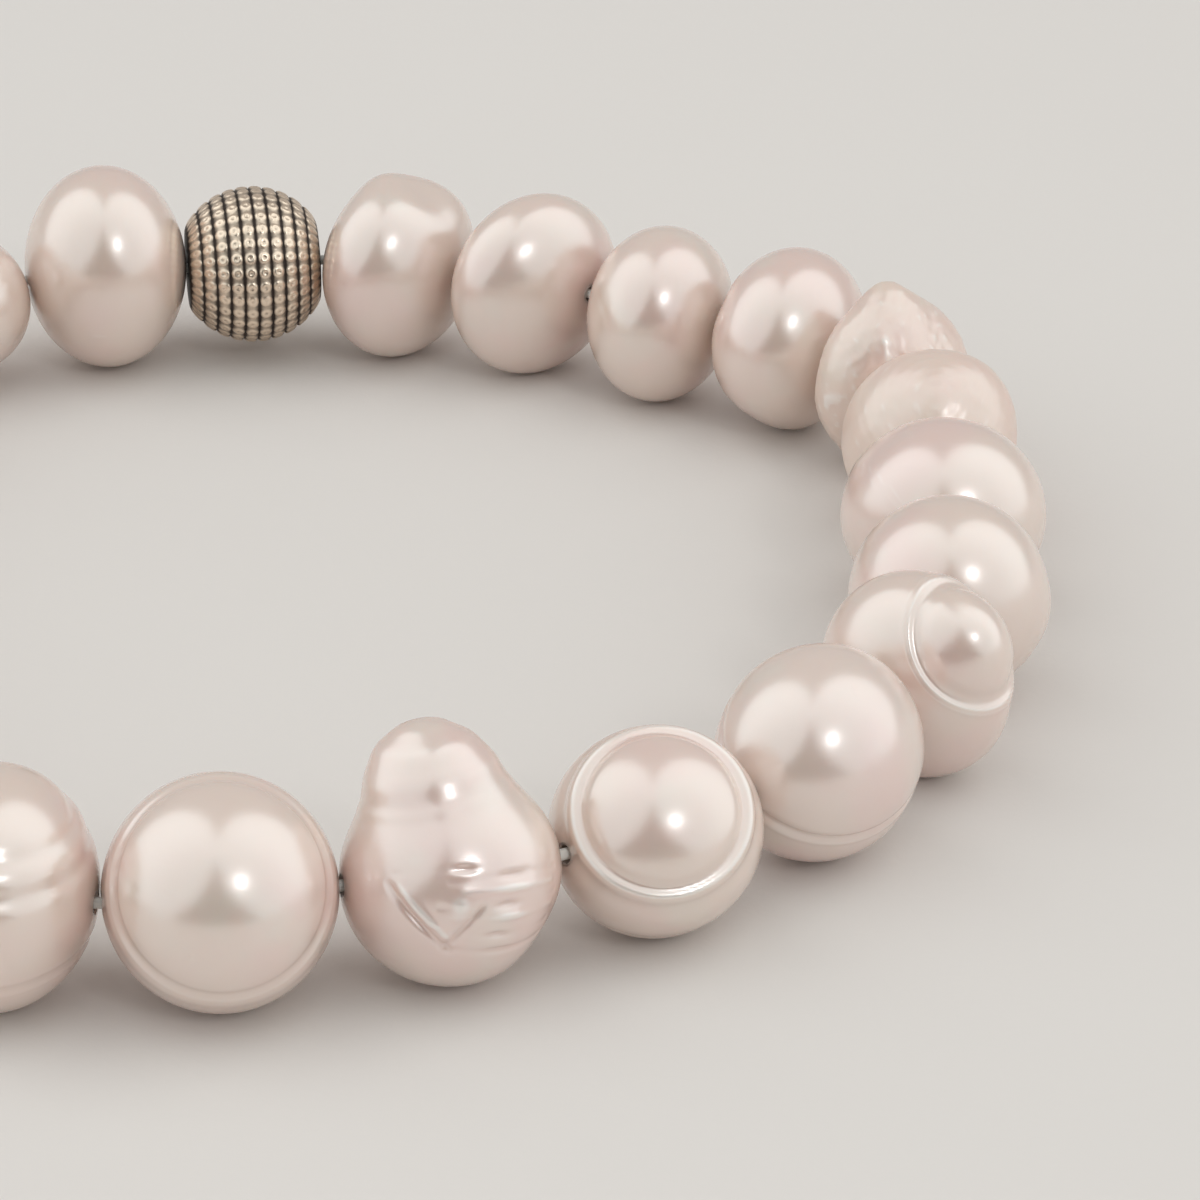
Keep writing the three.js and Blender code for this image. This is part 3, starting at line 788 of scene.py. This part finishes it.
def pearl_material(settings):
    """Nacre: creamy white with drifting pink, green and ivory overtones, a deep soft lustre under a
    smooth outer layer, and a very fine grain. Raised fine marks are painted white as a painted
    highlight, and sunken ones a darker warm tone as painted shade. Chalky pearls are rougher."""
    shader = Shader(bpy.data.materials.new("nacre"))
    chalk, warmth = shader.attribute("chalk"), shader.attribute("warmth")
    relief, cloud = shader.attribute("relief"), shader.noise(*CLOUD)
    tones = (
        (shader.noise(*BLUSH_DRIFT).ramp(*BLUSH_RANGE) * BLUSH_SHARE, settings.blush),
        (shader.noise(*SHEEN_DRIFT).ramp(*SHEEN_RANGE) * SHEEN_SHARE, settings.sheen),
        (warmth * IVORY_SHARE * (IVORY_EVEN + cloud * IVORY_CLOUDY), settings.ivory),
        # The last two tones are painted light: a highlight on raised fine marks and shade in sunken
        # ones
        ((relief * RIDGE_HIGHLIGHT_GAIN).ramp(*RIDGE_HIGHLIGHT_RANGE) * RIDGE_HIGHLIGHT_SHARE, settings.ridge_highlight),
        ((relief * -GROOVE_SHADE_GAIN).ramp(*GROOVE_SHADE_RANGE) * GROOVE_SHADE_SHARE, settings.groove),
    )
    colour = opaque(settings.body)
    for share, tone in tones:
        colour = shader.mix(share, colour, opaque(tone))
    normal = shader.bump(shader.noise(*NACRE_PITS), NACRE_PITS_HEIGHT)
    normal = shader.bump(shader.noise(*NACRE_GRAIN), NACRE_GRAIN_HEIGHT, Normal=normal)
    shader.surface(
        Base_Color=colour,
        Roughness=settings.roughness + chalk * CHALK_ROUGHNESS + cloud * CLOUD_ROUGHNESS,
        Normal=normal,
        IOR=1.7,
        Specular_IOR_Level=0.9,
        Subsurface_Weight=0.25,
        Subsurface_Radius=(1.0, 0.62, 0.45),
        Subsurface_Scale=0.0012,
        Metallic=0.0,
        Coat_Weight=1.0 - chalk * CHALK_DULLING,
        Coat_Roughness=0.26,
        Coat_IOR=2.8,
    )
    return shader.owner


def silver_material(settings):
    """Oxidised silver: bright worn granule tops over blackened grooves. What is worn goes by the
    height over the grooves, and a noise makes it blotchy."""
    shader = Shader(bpy.data.materials.new("oxidised_silver"))
    blotch = (shader.noise(*TARNISH) - 0.5) * TARNISH_SHIFT
    worn = (shader.attribute("height") + blotch).ramp(*WORN_RANGE)
    shader.surface(
        Base_Color=shader.mix(worn, opaque(settings.oxide), opaque(settings.bright)),
        Metallic=OXIDE_METALLIC + (1 - OXIDE_METALLIC) * worn,
        Roughness=OXIDE_ROUGHNESS - (OXIDE_ROUGHNESS - SILVER_ROUGHNESS) * worn,
        Normal=shader.bump(shader.noise(*SCRATCHES), SCRATCHES_HEIGHT),
    )
    return shader.owner


def cord_material(settings):
    """Milky stretch cord with a fine grain."""
    shader = Shader(bpy.data.materials.new("elastic"))
    cloud = shader.noise(*CORD_CLOUD)
    shader.surface(
        Base_Color=shader.mix(cloud, opaque(settings.colour), opaque(settings.milk)),
        Roughness=0.45,
        Normal=shader.bump(shader.noise(*CORD_GRAIN), CORD_GRAIN_HEIGHT),
    )
    return shader.owner


def floor_material(settings):
    """Plain pale matt floor, with a tone that hardly varies."""
    shader = Shader(bpy.data.materials.new("floor"))
    colour = settings.floor_colour
    darker = tuple(FLOOR_SHADE * channel for channel in colour)
    shader.surface(
        Base_Color=shader.mix(shader.noise(*FLOOR_TONE), opaque(darker), opaque(colour)),
        Roughness=0.75,
        Normal=shader.bump(shader.noise(*FLOOR_GRAIN), FLOOR_GRAIN_HEIGHT),
    )
    return shader.owner


# Stage

# Lights: turn from the camera's side to the right, rise, and half the angle that each spans as
# seen from the bracelet, in degrees. The left light mirrors the right one.
SIDE_LIGHT = (72, 40, 47)
KEY_LIGHT = (30, 37, 4.5)
LIGHT_DISTANCE = 2.0

# Walls: how far back they start and stop brightening, from -1 on the camera's side to 1 across
# from it, and how bright they are before that, as a share of the fill
WALL_DARK = -0.7
WALL_BRIGHT = 0.2
WALL_DIMMEST = 0.09

# Camera: the width of its sensor in millimetres, and the nearest and furthest that it sees
SENSOR_WIDTH = 36
NEAREST = 0.01
FURTHEST = 20


def disc_light(name, turn, rise, half_angle, radiance, colour):
    """Round lamp that faces the bracelet. Its radius is its distance times the tangent of its half
    angle, and its power is its radiance times pi times its area."""
    radius = LIGHT_DISTANCE * math.tan(math.radians(half_angle))
    lamp = bpy.data.lights.new(name, "AREA")
    lamp.shape = "DISK"
    lamp.size = 2 * radius
    lamp.energy = radiance * math.pi * math.pi * radius ** 2
    lamp.color = colour
    thing = bpy.data.objects.new(name, lamp)
    thing.location = LIGHT_DISTANCE * towards(turn, rise) * (1, -1, 1)
    thing.rotation_euler = (-thing.location).to_track_quat("-Z", "Y").to_euler()
    thing.visible_camera = False
    bpy.context.scene.collection.objects.link(thing)


def make_world(settings):
    """Pale walls all round, dimmer on the camera's side, where the studio is dark."""
    walls = Shader(bpy.data.worlds.new("studio"), "Background")
    places = walls.add("ShaderNodeTexCoord", output="Generated")
    back = walls.add("ShaderNodeSeparateXYZ", {}, (places,), "Y")
    fill = settings.fill
    walls.surface(Color=opaque(settings.wall_colour),
                  Strength=back.ramp(WALL_DARK, WALL_BRIGHT, WALL_DIMMEST * fill, fill))
    bpy.context.scene.world = walls.owner


class BRACELET_OT_pearls(bpy.types.Operator):
    """Makes the drilled pearls, each in the place of its node"""
    bl_idname = "bracelet.pearls"
    bl_label = "Pearls"

    def execute(self, context):
        settings = context.scene.bracelet_pearls
        material, joints = pearl_material(settings), string_joints()
        for number, pearl in enumerate(PEARLS, start=1):
            node = f"pearl_{number:02d}"
            seat = seat_of(node, joints)
            grid, relief = pearl_surface(pearl, settings, seat.back[2])
            thing = grid_object("nacre_" + node, seat.place(grid, settings.gap), [
                ("relief", relief), ("chalk", pearl.chalk), ("warmth", pearl.warmth)])
            put_on_string(thing, node, material)
        return {"FINISHED"}


class BRACELET_OT_silver_bead(bpy.types.Operator):
    """Makes the granulated silver bead in the place of its node"""
    bl_idname = "bracelet.silver_bead"
    bl_label = "Silver bead"

    def execute(self, context):
        settings = context.scene.bracelet_silver
        pearls = context.scene.bracelet_pearls
        grid, height = silver_surface(settings, pearls.bore, pearls.edge)
        seat = seat_of(SILVER_NODE, string_joints())
        thing = grid_object("granulated_bead", seat.place(grid, pearls.gap), [("height", height)])
        put_on_string(thing, SILVER_NODE, silver_material(settings))
        return {"FINISHED"}


class BRACELET_OT_elastic_cord(bpy.types.Operator):
    """Makes the elastic cord through all the beads"""
    bl_idname = "bracelet.elastic_cord"
    bl_label = "Elastic cord"

    def execute(self, context):
        settings = context.scene.bracelet_cord
        thing = grid_object("stretch_cord", cord_surface(settings, string_joints()))
        put_on_string(thing, CORD_NODE, cord_material(settings))
        return {"FINISHED"}


class BRACELET_OT_stage(bpy.types.Operator):
    """Makes the pale floor, the soft lights and the camera"""
    bl_idname = "bracelet.stage"
    bl_label = "Stage"

    def execute(self, context):
        settings = context.scene.bracelet_stage
        half, level = settings.floor_size / 2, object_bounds()[0].z
        corners = [(-half, -half, level), (half, -half, level), (half, half, level),
                   (-half, half, level)]
        mesh = bpy.data.meshes.new("floor")
        mesh.from_pydata(corners, [], [(0, 1, 2, 3)])
        mesh.materials.append(floor_material(settings))
        floor = bpy.data.objects.new("floor", mesh)
        context.scene.collection.objects.link(floor)
        floor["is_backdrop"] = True
        turn, rise, half_angle = SIDE_LIGHT
        for name, side in (("left_light", -1), ("right_light", 1)):
            disc_light(name, side * turn, rise, half_angle, settings.side_radiance,
                       settings.side_colour)
        disc_light("key_light", *KEY_LIGHT, settings.key_radiance, settings.key_colour)
        make_world(settings)
        lens = bpy.data.cameras.new("camera")
        lens.lens, lens.sensor_width = settings.lens, SENSOR_WIDTH
        lens.clip_start, lens.clip_end = NEAREST, FURTHEST
        camera = bpy.data.objects.new("camera", lens)
        camera.location = settings.camera_place
        camera.rotation_euler = (math.pi / 2 - settings.camera_drop, 0, 0)
        context.scene.collection.objects.link(camera)
        context.scene.camera = camera
        context.scene.view_settings.view_transform = "Standard"
        return {"FINISHED"}


class BRACELET_PT_panel(bpy.types.Panel):
    """Lists the bracelet's pieces"""
    bl_idname = "BRACELET_PT_panel"
    bl_label = "Pearl bracelet"
    bl_space_type = "VIEW_3D"
    bl_region_type = "UI"
    bl_category = "Bracelet"

    def draw(self, context):
        for operator in OPERATORS:
            self.layout.operator(operator.bl_idname)


SETTINGS = {
    "bracelet_pearls": PearlSettings,
    "bracelet_silver": SilverSettings,
    "bracelet_cord": CordSettings,
    "bracelet_stage": StageSettings,
}
OPERATORS = (
    BRACELET_OT_pearls, BRACELET_OT_silver_bead, BRACELET_OT_elastic_cord, BRACELET_OT_stage)


def register():
    """Adds the settings, the operators and the panel to Blender."""
    for name, settings in SETTINGS.items():
        bpy.utils.register_class(settings)
        setattr(bpy.types.Scene, name, PointerProperty(type=settings))
    for operator in OPERATORS:
        bpy.utils.register_class(operator)
    bpy.utils.register_class(BRACELET_PT_panel)


def unregister():
    """Takes them out again, the last one first."""
    bpy.utils.unregister_class(BRACELET_PT_panel)
    for operator in reversed(OPERATORS):
        bpy.utils.unregister_class(operator)
    for name, settings in reversed(SETTINGS.items()):
        delattr(bpy.types.Scene, name)
        bpy.utils.unregister_class(settings)


def main():
    """Registers the add-on and makes every piece."""
    register()
    bpy.ops.bracelet.pearls()
    bpy.ops.bracelet.silver_bead()
    bpy.ops.bracelet.elastic_cord()
    bpy.ops.bracelet.stage()


if __name__ == "__main__":
    main()
